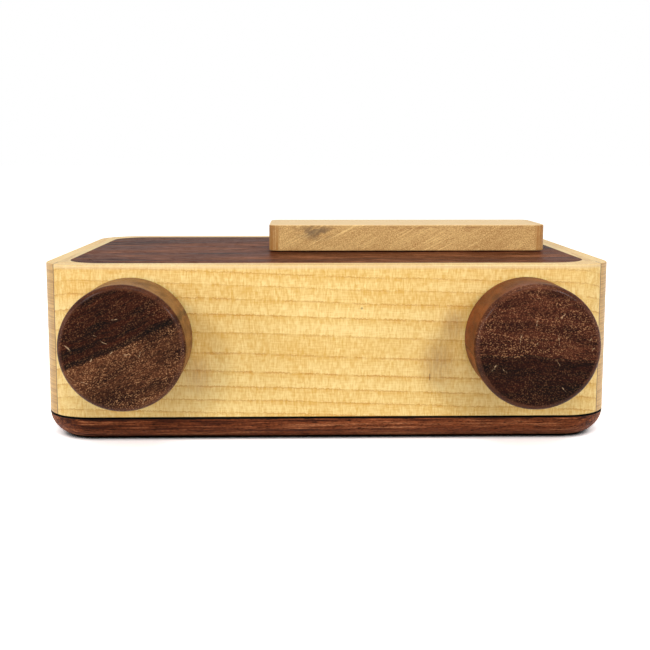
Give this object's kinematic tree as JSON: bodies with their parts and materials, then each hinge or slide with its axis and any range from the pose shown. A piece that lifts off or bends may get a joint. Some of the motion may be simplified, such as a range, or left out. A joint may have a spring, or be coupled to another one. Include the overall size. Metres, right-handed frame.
{
  "type": "pinhole camera",
  "caption": "Wooden roll-film pinhole camera lying on its back: maple body, walnut front, back and winding knobs, sliding maple shutter bar.",
  "frame": {"origin": "middle of the footprint, on the surface that the camera's back lies on", "axes": "+Z the way the camera looks, -Y its top edge with the winding knobs, +X the way the shutter bar opens"},
  "size_m": [0.1324, 0.0988, 0.048],
  "materials": {
    "maple": "oiled maple, satin",
    "maple_bar": "oiled maple, matt, saw-marked faces",
    "walnut_panel": "oiled walnut, satin",
    "walnut_back": "oiled reddish walnut, satin",
    "walnut_knob": "oiled dark walnut, matt with open pores",
    "black_board": "matt black paint on plywood",
    "black_felt": "black felt",
    "black_metal": "matt black anodised sheet",
    "brass": "turned brass, satin",
    "nickel": "nickel-plated magnet",
    "ruby_acrylic": "clear ruby acrylic",
    "black_plastic": "moulded black plastic"
  },
  "bodies": {
    "back": {"back_cover": "walnut_back", "pressure_board": "black_board", "pressure_felt": "black_felt", "light_gasket": "black_felt", "back_magnets": "nickel", "red_window": "ruby_acrylic", "slider_rivet": "brass"},
    "window_cover": {"window_slider": "brass"},
    "camera_body": {"top_board": "maple", "base_board": "maple", "left_end_board": "maple", "right_end_board": "maple", "left_end_cap": "maple", "right_end_cap": "maple", "front_panel": "walnut_panel", "pinhole_plate": "brass", "pinhole_clamp": "black_metal", "clamp_screws": "brass", "left_chamber_wall": "black_board", "right_chamber_wall": "black_board", "film_gate": "black_metal", "left_spindle_bush": "brass", "right_spindle_bush": "brass", "left_spool_pivot": "brass", "right_spool_pivot": "brass", "tripod_bush": "brass", "body_magnets": "nickel", "panel_magnets": "nickel"},
    "shutter": {"shutter_bar": "maple_bar", "shutter_pins": "brass", "shutter_magnet": "nickel"},
    "left_felt": {"left_washer": "black_felt"},
    "right_felt": {"right_washer": "black_felt"},
    "left_winder": {"left_knob": "walnut_knob", "left_spindle": "brass"},
    "right_winder": {"right_knob": "walnut_knob", "right_spindle": "brass"},
    "supply_reel": {"supply_spool": "black_plastic"},
    "take_up_reel": {"take_up_spool": "black_plastic"}
  },
  "joints": [
    {"name": "back_release", "type": "slide", "parent": "back", "child": "camera_body", "axis": [0, 0, 1], "range_m": [0, 0.05]},
    {"name": "window_slide", "type": "slide", "parent": "back", "child": "window_cover", "axis": [1, 0, 0], "range_m": [0, 0.012]},
    {"name": "shutter_slide", "type": "slide", "parent": "camera_body", "child": "shutter", "axis": [1, 0, 0], "range_m": [0, 0.02]},
    {"name": "left_knob_turn", "type": "hinge", "parent": "camera_body", "child": "left_felt", "pos_m": [-0.04485, 0, 0.0245], "axis": [0, -1, 0], "continuous": true},
    {"name": "left_knob_lift", "type": "slide", "parent": "left_felt", "child": "left_winder", "axis": [0, -1, 0], "range_m": [0, 0.0075]},
    {"name": "right_knob_turn", "type": "hinge", "parent": "camera_body", "child": "right_felt", "pos_m": [0.04485, 0, 0.0245], "axis": [0, -1, 0], "continuous": true},
    {"name": "right_knob_lift", "type": "slide", "parent": "right_felt", "child": "right_winder", "axis": [0, -1, 0], "range_m": [0, 0.0075]},
    {"name": "supply_spool_turn", "type": "hinge", "parent": "camera_body", "child": "supply_reel", "pos_m": [-0.04485, 0, 0.0245], "axis": [0, -1, 0], "continuous": true},
    {"name": "take_up_spool_turn", "type": "hinge", "parent": "camera_body", "child": "take_up_reel", "pos_m": [0.04485, 0, 0.0245], "axis": [0, -1, 0], "continuous": true}
  ],
  "couplings": [
    {"joint": "supply_spool_turn", "follows": "left_knob_turn", "ratio": 1},
    {"joint": "take_up_spool_turn", "follows": "right_knob_turn", "ratio": 1}
  ]
}
